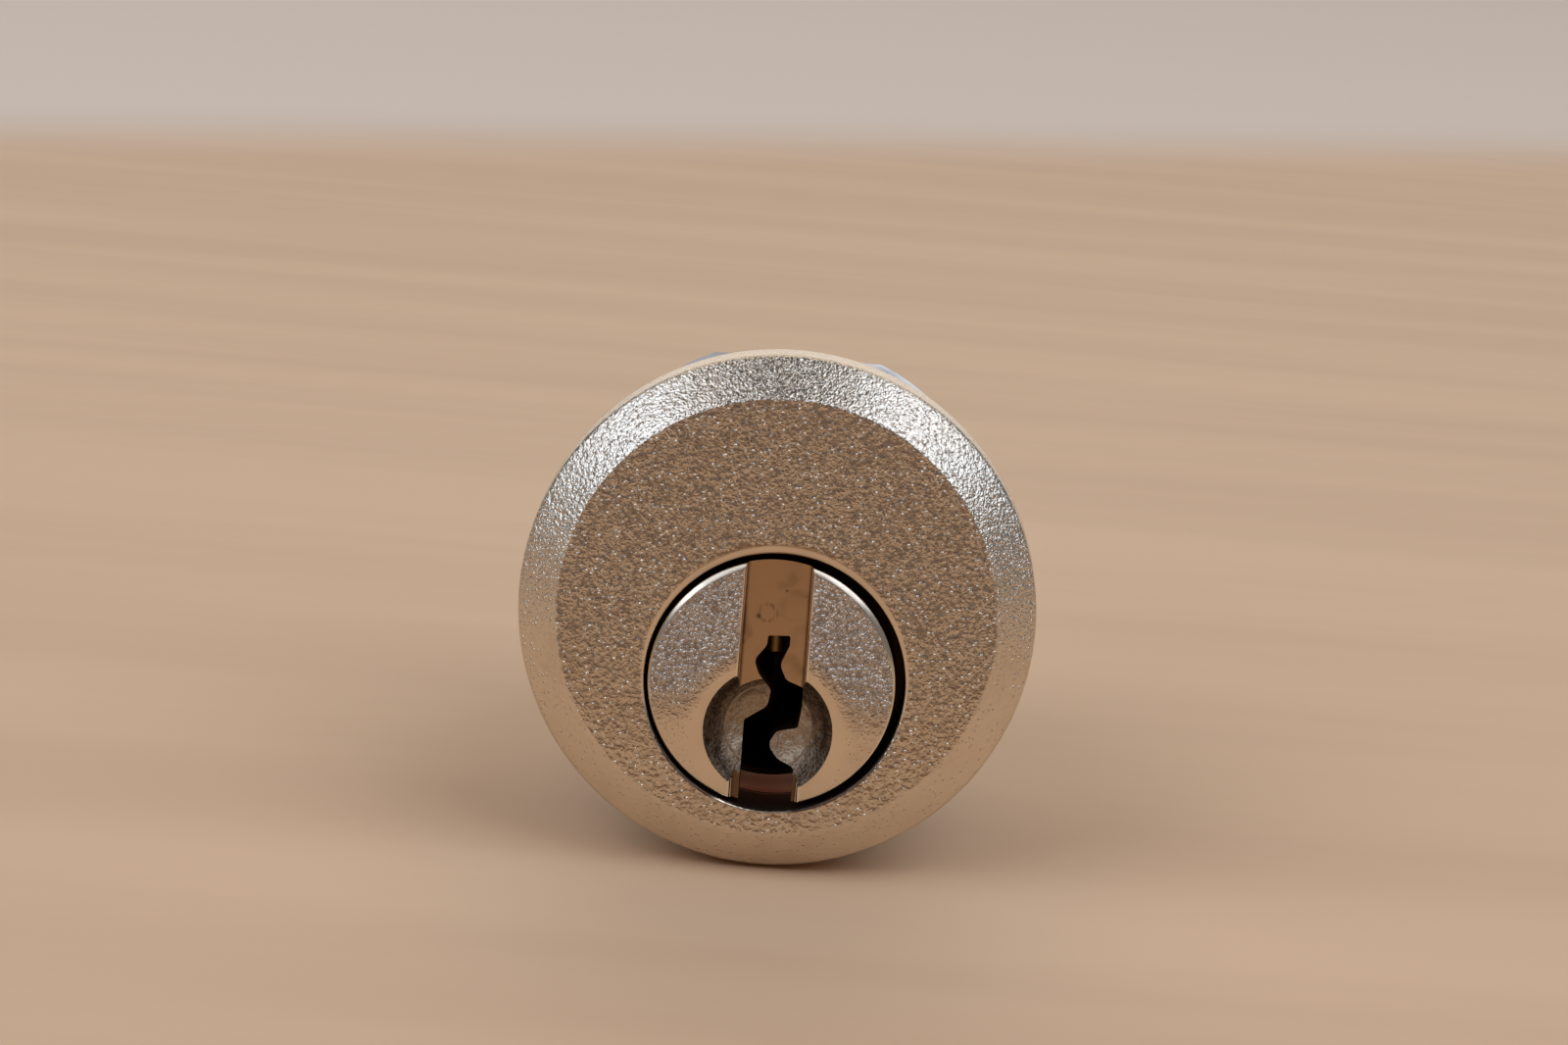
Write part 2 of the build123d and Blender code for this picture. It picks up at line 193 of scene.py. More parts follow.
def on_head_skin(point):
    """The head's skin is smooth round the mouth's upper half, and calmer on the bevel and the rim's side."""
    here = Vector((point.x, point.z))
    from_ring = (here - smooth_ring_centre).length
    front = ease(from_ring, smooth_ring_radius, smooth_ring_radius + skin_wake_width)
    front *= 1 - bevel_calm * ease(here.length, *bevel_begins)
    front *= 1 - ease(point.y, *rim_side_front)
    side = ease(point.y, *rim_side_front) * (1 - ease(point.y, *rim_side_back))
    side *= ease(here.length, *rim_side_begins)
    return front + rim_side_share * side


head_mesh = bmesh.new()
mouth_wall = first_ring(head_mesh, head_segments, mouth_radius, 0, mouth_centre)
ring = rings_to(head_mesh, mouth_wall, mouth_radius, face_place + wall_front_room, count=wall_rings)
for i in range(mouth_edge_steps + 1):
    angle = pi / 2 * i / mouth_edge_steps
    out, rise = 1 - cos(angle), 1 - sin(angle)
    ring = next_ring(head_mesh, ring, mouth_radius + mouth_rounding * out,
                     face_place + mouth_rounding * rise, mouth_centre + mouth_edge_lift * out)
ring = rings_to(head_mesh, ring, face_radius - face_edge_room, face_place, (0, 0), face_rings)
ring = rounded_to(head_mesh, ring, (face_radius, face_place), (head_radius, bevel_place),
                  face_edge_rounding)
bevel_run = Vector((face_radius - head_radius, face_place - bevel_place)).normalized() * bevel_edge_room
ring = rings_to(head_mesh, ring, head_radius + bevel_run.x, bevel_place + bevel_run.y, count=bevel_rings)
ring = rounded_to(head_mesh, ring, (head_radius, bevel_place), (head_radius, 0), rim_rounding, 6)
ring = rings_to(head_mesh, ring, head_radius, -head_back_chamfer, count=rim_side_rings)
ring = next_ring(head_mesh, ring, head_radius - head_back_chamfer, 0)
bmesh.ops.bridge_loops(head_mesh, edges=ring[0] + mouth_wall[0])
raise_skin(head_mesh, on_head_skin)
head = make_piece(head_mesh, "cylinder_head", smooth_angle=60)


def new_finish(name):
    """Starts a material and gives its node tree, with the shader and the point on the piece."""
    finish = bpy.data.materials.new(name)
    finish.use_nodes = True
    tree = finish.node_tree
    shader = tree.nodes["Principled BSDF"]
    where = tree.nodes.new("ShaderNodeTexCoord").outputs["Object"]
    return finish, tree, shader, where


def put(tree, kind, inputs, output=0, **settings):
    """Adds a node, sets it and joins its inputs. Gives one of its outputs."""
    node = tree.nodes.new("ShaderNode" + kind)
    for name, value in settings.items():
        setattr(node, name, value)
    for name, value in inputs.items():
        if isinstance(value, bpy.types.NodeSocket):
            tree.links.new(value, node.inputs[name])
        else:
            node.inputs[name].default_value = value
    return node.outputs[output]


def reckon(tree, operation, *values):
    """One step of arithmetic."""
    return put(tree, "Math", dict(enumerate(values)), operation=operation)


def blend(tree, factor, first, second):
    """Mixes two colours."""
    return put(tree, "Mix", {0: factor, 6: first, 7: second}, output=2, data_type="RGBA")


def spread(tree, value, low, high, to_low=0.0, to_high=1.0):
    """Takes a value from one range to another, smoothly and without going past its ends."""
    return put(tree, "MapRange", {"Value": value, "From Min": low, "From Max": high, "To Min": to_low,
                                  "To Max": to_high}, interpolation_type="SMOOTHSTEP")


def distance_across(tree, where, centre):
    """How far a point is from a line along the lock, given by its centre across and up."""
    back_to_line = (-centre[0] * mm, 0, -centre[1] * mm)
    from_centre = put(tree, "VectorMath", {0: where, 1: back_to_line}, operation="ADD")
    flat = put(tree, "VectorMath", {0: from_centre, 1: (1, 0, 1)}, operation="MULTIPLY")
    return put(tree, "VectorMath", {0: flat}, output="Value", operation="LENGTH")


def plated_skin(name, colour, skin_colour, pebbles, crumbs, grain_width, calm_centre, calm_radius,
                wake_width, calm_from, calm_to, calm):
    """Bright nickel over a cast skin: pebbles, crumbs and steep grains, with the dips between them darkened,
    partly by soiling and partly as painted shade.
    The heights of the pebbles and crumbs are pairs, for the flat face and for the bevel. The skin is
    smooth inside a circle and wakes over a width outside it. Lower down it calms to a share of itself."""
    finish, tree, shader, where = new_finish(name)
    pebble_width = 0.22
    crumb_width = 0.11
    grain_slope = 0.15
    dirt_and_shade_share = 0.55
    bevel_dirt_and_shade_share = 0.12
    face_ends, bevel_starts = 10.70 * mm, 10.95 * mm
    on_bevel = spread(tree, distance_across(tree, where, (0, 0)), face_ends, bevel_starts)
    near =put(tree, "TexVoronoi", {"Vector": where, "Scale": 1 / (pebble_width * mm)})
    domes = reckon(tree, "MULTIPLY", near, near)
    height = reckon(tree, "MULTIPLY", domes, spread(tree, on_bevel, 0.0, 1.0, -pebbles[0], -pebbles[1]))
    fine = put(tree, "TexNoise", {"Vector": where, "Scale": 1 / (crumb_width * mm), "Detail": 1.0})
    fine_height = spread(tree, on_bevel, 0.0, 1.0, crumbs[0], crumbs[1])
    height = reckon(tree, "MULTIPLY_ADD", fine, fine_height, height)

    awake = spread(tree, distance_across(tree, where, calm_centre), calm_radius * mm,
                   (calm_radius + wake_width) * mm)
    up = put(tree, "SeparateXYZ", {0: where}, output="Z")
    low, high = calm_from * mm, calm_to * mm
    rough = reckon(tree, "MULTIPLY", awake, spread(tree, up, low, high, calm, 1.0))
    height = reckon(tree, "MULTIPLY", height, rough)
    grains = put(tree, "TexVoronoi", {"Vector": where, "Scale": 1 / (grain_width * mm)})
    grains = spread(tree, grains, 0.05, 0.28, grain_slope * grain_width, 0.0)
    grains = reckon(tree, "MULTIPLY", grains, awake)
    grains = reckon(tree, "MULTIPLY", grains, spread(tree, up, low, high, sqrt(calm), 1.0))
    height = reckon(tree, "ADD", height, grains)

    patches = put(tree, "TexNoise", {"Vector": where, "Scale": 0.35 / mm, "Detail": 3.0})
    streaks = put(tree, "TexNoise", {"Vector": where, "Scale": 2.2 / mm, "Detail": 2.0, "Distortion": 0.8})
    # Dirt and painted shade: the dips between the pebbles are darkened, less on the bevel.
    dirt_and_shade = spread(tree, near, 0.38, 0.66, 0.0, dirt_and_shade_share)
    dirt_and_shade = reckon(tree, "MULTIPLY", dirt_and_shade, spread(tree, streaks, 0.25, 0.62))
    dirt_and_shade = reckon(tree, "MULTIPLY", dirt_and_shade, spread(tree, on_bevel, 0.0, 1.0, 1.0, bevel_dirt_and_shade_share))
    dirt_and_shade = reckon(tree, "MULTIPLY", dirt_and_shade, rough)
    shade = blend(tree, rough, colour, skin_colour)
    shade = blend(tree, spread(tree, patches, 0.38, 0.72, 0.0, 0.5), shade, dull_nickel_colour)
    shade = blend(tree, dirt_and_shade, shade, dirt_and_shade_colour)
    dullness = reckon(tree, "MULTIPLY_ADD", dirt_and_shade, 0.3, spread(tree, patches, 0.3, 0.7, 0.12, 0.18))
    bump = put(tree, "Bump", {"Height": height, "Distance": mm, "Strength": 1.0})
    tree.links.new(shade, shader.inputs["Base Color"])
    tree.links.new(dullness, shader.inputs["Roughness"])
    tree.links.new(bump, shader.inputs["Normal"])
    shader.inputs["Metallic"].default_value = 1.0
    return finish


head_finish = plated_skin(
    "nickel_on_cast_skin", nickel_colour, skin_nickel_colour, pebbles=(0.034, 0.030), crumbs=(0.040, 0.046),
    grain_width=0.30, calm_centre=smooth_ring_centre, calm_radius=smooth_ring_radius,
    wake_width=skin_wake_width, calm_from=-9.0, calm_to=2.0, calm=0.45)
head.data.materials.append(head_finish)

# Painted shade in the mouth: its wall and lower edge are dark, smeared with the darker tone of the skin's
# dips, and bright nickel only in the patch behind the slot, where light reaches.
mouth_shade_finish, tree, shader, where = new_finish("shaded_mouth_wall")
smears = put(tree, "TexNoise", {"Vector": where, "Scale": 1.2 / mm, "Detail": 3.0})
across = reckon(tree, "ADD", put(tree, "SeparateXYZ", {0: where}, output="X"), -lit_edge_place * mm)
lit_patch = spread(tree, reckon(tree, "ABSOLUTE", across), (lit_edge_half - lit_edge_fade) * mm,
               lit_edge_half * mm, 1.0, 0.0)
deep = put(tree, "SeparateXYZ", {0: where}, output="Y")
lit_front = spread(tree, deep, lit_edge_front * mm, lit_edge_back * mm, 1.0, 0.0)
lit_patch = reckon(tree, "MULTIPLY", lit_patch, lit_front)
shaded = blend(tree, smears, mouth_shade_colour, dirt_and_shade_colour)
tree.links.new(blend(tree, lit_patch, shaded, nickel_colour), shader.inputs["Base Color"])
tree.links.new(spread(tree, lit_patch, 0.0, 1.0, 0.45, 0.22), shader.inputs["Roughness"])
shader.inputs["Metallic"].default_value = 1.0
head.data.materials.append(mouth_shade_finish)
# Faces in the mouth, and a rim of its edge that widens towards the bottom, take the painted shade.
for face in head.data.polygons:
    from_middle = Vector((face.center.x, face.center.z)) - mouth_centre * mm
    on_wall = face.center.y > (face_place + mouth_rounding) * mm
    edge_share = shaded_edge_share * ease(-from_middle.normalized().y, 0.1, 0.75)
    shaded_radius = mouth_radius + wall_edge_room * on_wall + edge_share * mouth_rounding
    if from_middle.length < shaded_radius * mm:
        face.material_index = 1
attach(head, "cylinder")
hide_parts("cylinder_shell")


# Barrel: the back of the same casting, turned and threaded 27 to the inch, with a plain collar behind
# the head and a flat along its top. It is bored for the plug and drilled for the four pin stacks, and
# an undercut groove along the flat takes their cover.
barrel_radius = 11.11
barrel_length = 16.0
barrel_end_chamfer = 0.7
flat_height = 10.25
collar_length = 3.0
thread_pitch = 0.94
thread_depth = 0.5
thread_crest = 0.12
thread_turns = 14
thread_steps = 96
thread_overrun = 0.04
counterbore_depth = 1.10
bore_radius = 5.3
bore_chamfer = 0.25
cover_groove_place = 1.15
cover_groove_floor = 9.35
cover_half_width = 1.8
cover_flare = 0.3
pin_places = [3.15, 6.65, 10.15, 13.65]
chamber_radius = 1.5
chamber_middle = 7.5
chamber_length = 10.6
stop_pin_centre = (6.9, plug_centre.y)
stop_pin_hole_radius = 0.62
stop_pin_depth = 1.6
barrel_segments = 288
bore_segments = 192
chamber_segments = 48
barrel_colour = (0.48, 0.46, 0.44, 1)
bore_colour = (0.17, 0.10, 0.065, 1)
shoulder_colour = (0.80, 0.52, 0.42, 1)
# Painted shade for the upper part of the shoulder inside the counterbore, and the heights over which it
# takes over.
shoulder_shade_colour = tuple(0.3 * part for part in bore_colour)
shoulder_shade_from = -8.7
shoulder_shaded_above = -7.9
turned_round = (0.04, 1, 0.04)
past = 1.0


def rod(mesh, radius, place, end_place, centre=(0, 0), segments=64):
    """Adds a closed rod along the lock's axis."""
    middle = Vector((centre[0], (place + end_place) / 2, centre[1])) * mm
    stand = Matrix.Translation(middle) @ Matrix.Rotation(pi / 2, 4, "X")
    bmesh.ops.create_cone(mesh, cap_ends=True, segments=segments, radius1=radius * mm, radius2=radius * mm,
                          depth=(end_place - place) * mm, matrix=stand)


def bar(mesh, corners, place, end_place):
    """Adds a closed bar along the lock's axis. Its section is a list of corners across and up."""
    verts = [mesh.verts.new(Vector((x, place, z)) * mm) for x, z in corners]
    pulled = bmesh.ops.extrude_face_region(mesh, geom=[mesh.faces.new(verts)])["geom"]
    end = [part for part in pulled if isinstance(part, bmesh.types.BMVert)]
    bmesh.ops.translate(mesh, vec=(0, (end_place - place) * mm, 0), verts=end)


def machine(piece, mesh, finish, operation="DIFFERENCE", smooth_angle=40):
    """Cuts a tool's shape out of a piece, or joins it on, and gives the new faces their finish."""
    tool = make_piece(mesh, "tool")
    tool.data.materials.append(finish)
    cut = piece.modifiers.new("cut", "BOOLEAN")
    cut.object = tool
    cut.operation = operation
    cut.solver = "EXACT"
    cut.material_mode = "TRANSFER"
    result = piece.evaluated_get(bpy.context.evaluated_depsgraph_get())
    data = bpy.data.meshes.new_from_object(result)
    data.shade_smooth()
    data.set_sharp_from_angle(angle=radians(smooth_angle))
    piece.modifiers.clear()
    piece.data = data
    bpy.data.objects.remove(tool)


def worked_metal(name, colour, roughness, line_width, stretch, line_depth=0.004, stain=0.72):
    """A turned, drawn or rolled surface, faintly stained. Its fine lines run the way that is stretched."""
    finish, tree, shader, where = new_finish(name)
    stained_roughness = roughness + 0.14
    drawn_out = put(tree, "Mapping", {"Vector": where, "Scale": stretch})
    lines = put(tree, "TexNoise", {"Vector": drawn_out, "Scale": 1 / (line_width * mm), "Detail": 2.0})
    stains = put(tree, "TexNoise", {"Vector": where, "Scale": 0.45 / mm, "Detail": 4.0})
    stained = tuple(stain * part for part in colour[:3]) + (1,)
    shade = blend(tree, spread(tree, stains, 0.40, 0.70, 0.0, 0.8), colour, stained)
    dullness = spread(tree, stains, 0.35, 0.70, roughness, stained_roughness)
    bump = put(tree, "Bump", {"Height": lines, "Distance": line_depth * mm, "Strength": 1.0})
    tree.links.new(shade, shader.inputs["Base Color"])
    tree.links.new(dullness, shader.inputs["Roughness"])
    tree.links.new(bump, shader.inputs["Normal"])
    shader.inputs["Metallic"].default_value = 1.0
    return finish


barrel_finish = worked_metal("nickel_on_turned_barrel", barrel_colour, roughness=0.34, line_width=0.06,
                             stretch=turned_round)
bore_finish = worked_metal("dirty_bore", bore_colour, roughness=0.45, line_width=0.10, stretch=turned_round)
# Painted shade: the shoulder is coppery brass low down, where light reaches it through the keyway, and
# painted dark higher up.
shoulder_finish, tree, shader, where = new_finish("coppery_shoulder_with_painted_shade")
up = put(tree, "SeparateXYZ", {0: where}, output="Z")
shaded_high_up = spread(tree, up, shoulder_shade_from * mm, shoulder_shaded_above * mm)
shade = blend(tree, shaded_high_up, shoulder_colour, shoulder_shade_colour)
tree.links.new(shade, shader.inputs["Base Color"])
shader.inputs["Metallic"].default_value = 1.0
shader.inputs["Roughness"].default_value = 0.40

barrel_mesh = bmesh.new()
rod(barrel_mesh, barrel_radius, 0, barrel_length, segments=barrel_segments)
end_edges = [edge for edge in barrel_mesh.edges
             if min(vert.co.y for vert in edge.verts) > barrel_length / 2 * mm]
bmesh.ops.bevel(barrel_mesh, geom=end_edges, offset=barrel_end_chamfer * mm, offset_type="OFFSET",
                segments=1, profile=0.5, affect="EDGES", material=-1)
barrel = make_piece(barrel_mesh, "cylinder_barrel")
barrel.data.materials.append(barrel_finish)

thread_tool = bmesh.new()
half_groove = (thread_pitch - thread_crest) / 2
half_mouth = half_groove * (thread_depth + thread_overrun) / thread_depth
groove_start = collar_length + half_groove
groove_corners = [(groove_start, barrel_radius - thread_depth),
                  (groove_start - half_mouth, barrel_radius + thread_overrun),
                  (groove_start + half_mouth, barrel_radius + thread_overrun)]
groove = [thread_tool.verts.new((0, place * mm, radius * mm)) for place, radius in groove_corners]
section = thread_tool.faces.new(groove)
bmesh.ops.spin(thread_tool, geom=[section, *section.edges, *section.verts], cent=(0, 0, 0), axis=(0, 1, 0),
               angle=thread_turns * 2 * pi, dvec=(0, thread_pitch * mm / thread_steps, 0),
               steps=thread_turns * thread_steps)
machine(barrel, thread_tool, barrel_finish)

flat_tool = bmesh.new()
half, top = 12, 13
bar(flat_tool, [(-half, flat_height), (half, flat_height), (half, top), (-half, top)],
    -past, barrel_length + past)
machine(barrel, flat_tool, barrel_finish)

groove_tool = bmesh.new()
slant = cover_flare / (flat_height - cover_groove_floor)
wide, narrow = cover_half_width + cover_flare, cover_half_width - slant * past
bar(groove_tool, [(-wide, cover_groove_floor), (wide, cover_groove_floor), (narrow, flat_height + past),
                  (-narrow, flat_height + past)], cover_groove_place, barrel_length + past)
machine(barrel, groove_tool, bore_finish)

counterbore_tool = bmesh.new()
rod(counterbore_tool, mouth_radius, -past, counterbore_depth, mouth_centre, bore_segments)
machine(barrel, counterbore_tool, shoulder_finish)

bore_tool = bmesh.new()
lead = first_ring(bore_tool, bore_segments, bore_radius + bore_chamfer + past, counterbore_depth - past,
                  plug_centre)
ring = next_ring(bore_tool, lead, bore_radius, counterbore_depth + bore_chamfer)
ring = next_ring(bore_tool, ring, bore_radius, barrel_length + past)
bmesh.ops.holes_fill(bore_tool, edges=lead[0] + ring[0])
machine(barrel, bore_tool, bore_finish)

drill_tool = bmesh.new()
for place in pin_places:
    stand = Matrix.Translation(Vector((0, place, plug_centre.y + chamber_middle)) * mm)
    bmesh.ops.create_cone(drill_tool, cap_ends=True, segments=chamber_segments, radius1=chamber_radius * mm,
                          radius2=chamber_radius * mm, depth=chamber_length * mm, matrix=stand)
rod(drill_tool, stop_pin_hole_radius, barrel_length - stop_pin_depth, barrel_length + past,
    stop_pin_centre, segments=32)
machine(barrel, drill_tool, bore_finish)
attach(barrel, "cylinder")
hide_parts("cylinder_shell")


# Chamber cover and stop pin: a rolled brass strip slid into the groove over the pin chambers, and a
# ground steel pin pressed into the barrel's end.
brass_colour = (0.72, 0.53, 0.25, 1)
steel_colour = (0.50, 0.50, 0.50, 1)


def dress(finish, *names):
    """Gives pieces of the frame their finish."""
    for name in names:
        for material_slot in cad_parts[name].material_slots:
            material_slot.material = finish


dress(worked_metal("rolled_brass", brass_colour, roughness=0.22, line_width=0.05, stretch=(1, 0.03, 1)),
      "chamber_cover")
dress(worked_metal("ground_steel", steel_colour, roughness=0.20, line_width=0.04, stretch=turned_round),
      "stop_pin")


# Plug: the part that the key turns, nickel plated over a crowned face that is pebbled above and worn
# smooth below. A slot runs across it, with a thumb cup and the keyway, and the pin chambers are drilled
# in from above. Its tail is square for the cam.
plug_face = -3.95
crown = 0.16
flange_radius = 6.07
rim_width = 0.32
rim_width_low = 0.09
rim_narrows = (-0.1, 0.7)
rim_depth = 0.14
rim_bend = 1.25
edge_break = 0.03
plug_segments = 360
crown_rings = 68
rim_rings = 12
flange_back = 1.05
plug_radius = 5.25
clip_groove_radius = 4.4
clip_groove_back = 16.70
tail_front = 17.20
tail_end = 20.08
tail_half = 3.0
tail_corner = 0.5
tail_overlap = 0.3
slot_half = 1.54
slot_floor = plug_face + 0.7
slot_slope = radians(9)
lip_rounding = 0.26
lip_steps = 8
lip_inward = 0.3
sweep_steps = 40
cup_radius = 3.17
cup_depth = 1.7
cup_drop = 2.44
cup_rim_chamfer = 0.06
cup_segments = 192
keyway_end = 15.45
screw_hole_radius = 2.0
screw_hole_depth = 3.6
tolerance = 0.001
crown_edge = flange_radius - rim_width
crown_radius = (crown_edge**2 + crown**2) / (2 * crown)
crown_end = plug_face + crown
side_place = crown_end + rim_depth
cup_sphere = (cup_radius**2 + cup_depth**2) / (2 * cup_depth)
cup_centre = Vector((0, plug_centre.y - cup_drop))
rim_calm_width = 0.2
cup_calm_radius = cup_radius + 0.3
cup_wake_width = 1.0
worn_below = -6.0
unworn_above = -3.0
worn_share = 0.1
plug_skin_ends = (-3.6, -3.5)
plug_skin_colour = (0.585, 0.54, 0.495, 1)
slot_colour = (0.53, 0.36, 0.22, 1)
# The slot's dark colour serves real marks and painted shade alike.
slot_marks_and_shade_colour = (0.16, 0.10, 0.06, 1)
slot_line_width = 0.12
slot_line_depth = 0.003
# Painted shade at the foot of the slot's walls, and the heights over which the slot darkens towards its
# bottom.
slot_edge_shade = 0.14
slot_darker_below = -8.2
slot_darkening_fades = -6.5
slot_dots = [(0.42, 4.55, 0.10), (-0.90, 3.20, 0.16)]
slot_scuff = Vector((-0.45, 3.40))
slot_scuff_radius = 0.42
cup_colour = (0.44, 0.34, 0.245, 1)
# The cup's dark colour serves its specks of dirt and the painted shade at its outer ring.
cup_marks_and_shade_colour = (0.07, 0.045, 0.03, 1)
cup_shade_from = 1.8
cup_shade_to = 2.8
cup_lump_width = 1.0
cup_lump_height = 0.30
cup_speck_width = 0.14
cup_speck_height = 0.055


def on_plug_skin(point):
    """The plug's skin is smooth at its rim, round the thumb cup and in the lower half."""
    here = Vector((point.x, point.z))
    inside_rim = 1 - ease((here - plug_centre).length, crown_edge - rim_calm_width, crown_edge)
    off_cup = ease((here - cup_centre).length, cup_calm_radius, cup_calm_radius + cup_wake_width)
    unworn = worn_share + (1 - worn_share) * ease(point.z, worn_below, unworn_above)
    return inside_rim * off_cup * unworn * (1 - ease(point.y, *plug_skin_ends))


def narrow_rim(mesh):
    """Narrows and flattens the plug's rim towards its lower half, where it is narrowest, and draws the
    crown out to meet it."""
    for vert in mesh.verts:
        if vert.co.y > (side_place + edge_break + tolerance) * mm:
            continue
        spoke = Vector((vert.co.x, vert.co.z)) / mm - plug_centre
        top_share = ease(spoke.normalized().y, *rim_narrows)
        width = rim_width_low + (rim_width - rim_width_low) * top_share
        if spoke.length > crown_edge + tolerance:
            radius = flange_radius - (flange_radius - spoke.length) * width / rim_width
            vert.co.y = crown_end * mm + (vert.co.y - crown_end * mm) * width / rim_width
        else:
            radius = spoke.length * (flange_radius - width) / crown_edge
        moved = plug_centre + spoke.normalized() * radius
        vert.co.x, vert.co.z = moved.x * mm, moved.y * mm


plug_mesh = bmesh.new()
ring = rim = first_ring(plug_mesh, plug_segments, crown_edge, crown_end, plug_centre)
for i in range(1, crown_rings):
    radius = crown_edge * (1 - i / crown_rings)
    ring = next_ring(plug_mesh, ring, radius, plug_face + crown_radius - sqrt(crown_radius**2 - radius**2))
close_up(plug_mesh, ring)
face_of_plug = set(plug_mesh.faces)
ring = rim
for i in range(1, rim_rings + 1):
    ring = next_ring(plug_mesh, ring, crown_edge + (rim_width - edge_break) * i / rim_rings,
                     crown_end + rim_depth * (i / rim_rings) ** rim_bend)
turned_profile = [
    (flange_radius, side_place + edge_break), (flange_radius, flange_back), (plug_radius, flange_back),
    (plug_radius, barrel_length), (clip_groove_radius, barrel_length),
    (clip_groove_radius, clip_groove_back), (plug_radius, clip_groove_back), (plug_radius, tail_front),
]
for radius, place in turned_profile:
    ring = next_ring(plug_mesh, ring, radius, place)
bmesh.ops.holes_fill(plug_mesh, edges=ring[0])
for face in plug_mesh.faces:
    face.material_index = face not in face_of_plug
raise_skin(plug_mesh, on_plug_skin)
narrow_rim(plug_mesh)
plug = make_piece(plug_mesh, "plug_body", smooth_angle=60)
plug_skin = plated_skin(
    "nickel_on_plug_face", nickel_colour, plug_skin_colour, pebbles=(0.050, 0.050), crumbs=(0.090, 0.090),
    grain_width=0.22, calm_centre=cup_centre, calm_radius=cup_calm_radius, wake_width=cup_wake_width,
    calm_from=worn_below, calm_to=unworn_above, calm=0.08)
plug_side = worked_metal("nickel_on_turned_plug", nickel_colour, roughness=0.14, line_width=0.06,
                         stretch=turned_round)

slot_finish, tree, shader, where = new_finish("worn_slot_with_painted_shade")
drawn_out = put(tree, "Mapping", {"Vector": where, "Scale": (1, 1, 0.05)})
lines = put(tree, "TexNoise", {"Vector": drawn_out, "Scale": 1 / (slot_line_width * mm), "Detail": 2.0})
stains = put(tree, "TexNoise", {"Vector": where, "Scale": 0.7 / mm, "Detail": 4.0, "Distortion": 0.6})
across = reckon(tree, "ABSOLUTE", put(tree, "SeparateXYZ", {0: where}, output="X"))
up = put(tree, "SeparateXYZ", {0: where}, output="Z")
# Painted shade along the foot of the slot's walls. The stains, two dots and a scuffed arc are marks on the
# metal, and the slot also darkens towards its bottom.
marks_and_shade = spread(tree, across, (slot_half - slot_edge_shade) * mm, (slot_half + 0.02) * mm, 0.0, 0.8)
marks_and_shade = reckon(tree, "ADD", marks_and_shade, spread(tree, stains, 0.50, 0.68, 0.0, 0.35))
darker_low = spread(tree, up, slot_darker_below * mm, slot_darkening_fades * mm, 0.95, 0.0)
marks_and_shade = reckon(tree, "ADD", marks_and_shade, darker_low)
for dot_x, dot_z, dot_radius in slot_dots:
    from_dot = distance_across(tree, where, plug_centre + Vector((dot_x, dot_z)))
    dot = spread(tree, from_dot, 0.4 * dot_radius * mm, dot_radius * mm, 0.7, 0.0)
    marks_and_shade = reckon(tree, "ADD", marks_and_shade, dot)
from_scuff = distance_across(tree, where, plug_centre + slot_scuff)
scuff = reckon(tree, "ABSOLUTE", reckon(tree, "ADD", from_scuff, -slot_scuff_radius * mm))
scuff = spread(tree, scuff, 0.03 * mm, 0.14 * mm, 0.5, 0.0)
scuff = reckon(tree, "MULTIPLY", scuff, spread(tree, lines, 0.40, 0.58))
marks_and_shade = reckon(tree, "ADD", marks_and_shade, scuff)
tree.links.new(blend(tree, marks_and_shade, slot_colour, slot_marks_and_shade_colour), shader.inputs["Base Color"])
bump = put(tree, "Bump", {"Height": lines, "Distance": slot_line_depth * mm, "Strength": 1.0})
tree.links.new(bump, shader.inputs["Normal"])
shader.inputs["Roughness"].default_value = 0.24
shader.inputs["Metallic"].default_value = 1.0

cup_finish, tree, shader, where = new_finish("worn_cup_with_painted_shade")
lumps = put(tree, "TexNoise", {"Vector": where, "Scale": 1 / (cup_lump_width * mm), "Detail": 1.0})
specks = put(tree, "TexNoise", {"Vector": where, "Scale": 1 / (cup_speck_width * mm), "Detail": 2.0})
height = reckon(tree, "MULTIPLY", lumps, cup_lump_height)
height = reckon(tree, "MULTIPLY_ADD", specks, cup_speck_height, height)
from_middle = distance_across(tree, where, cup_centre)
# Painted shade: the cup darkens towards its outer ring. Its dark specks are dirt.
marks_and_shade = spread(tree, from_middle, cup_shade_from * mm, cup_shade_to * mm, 0.0, 0.82)
marks_and_shade = reckon(tree, "ADD", marks_and_shade, spread(tree, specks, 0.45, 0.65, 0.0, 0.25))
bump = put(tree, "Bump", {"Height": height, "Distance": mm, "Strength": 1.0})
tree.links.new(blend(tree, marks_and_shade, cup_colour, cup_marks_and_shade_colour), shader.inputs["Base Color"])
tree.links.new(bump, shader.inputs["Normal"])
shader.inputs["Roughness"].default_value = 0.48
shader.inputs["Metallic"].default_value = 1.0
plug.data.materials.append(plug_skin)
plug.data.materials.append(plug_side)

tail_tool = bmesh.new()
tail_low, tail_high = plug_centre.y - tail_half, plug_centre.y + tail_half
tail_section = [(-tail_half, tail_low), (tail_half, tail_low), (tail_half, tail_high),
                (-tail_half, tail_high)]
bar(tail_tool, tail_section, tail_front - tail_overlap, tail_end)
long_edges = [edge for edge in tail_tool.edges if abs(edge.verts[0].co.y - edge.verts[1].co.y) > mm]
bmesh.ops.bevel(tail_tool, geom=long_edges, offset=tail_corner * mm, offset_type="OFFSET", segments=5,
                profile=0.5, affect="EDGES", material=-1)
machine(plug, tail_tool, plug_side, "UNION")

screw_hole_tool = bmesh.new()
rod(screw_hole_tool, screw_hole_radius, tail_end - screw_hole_depth, tail_end + past, plug_centre)
machine(plug, screw_hole_tool, bore_finish)

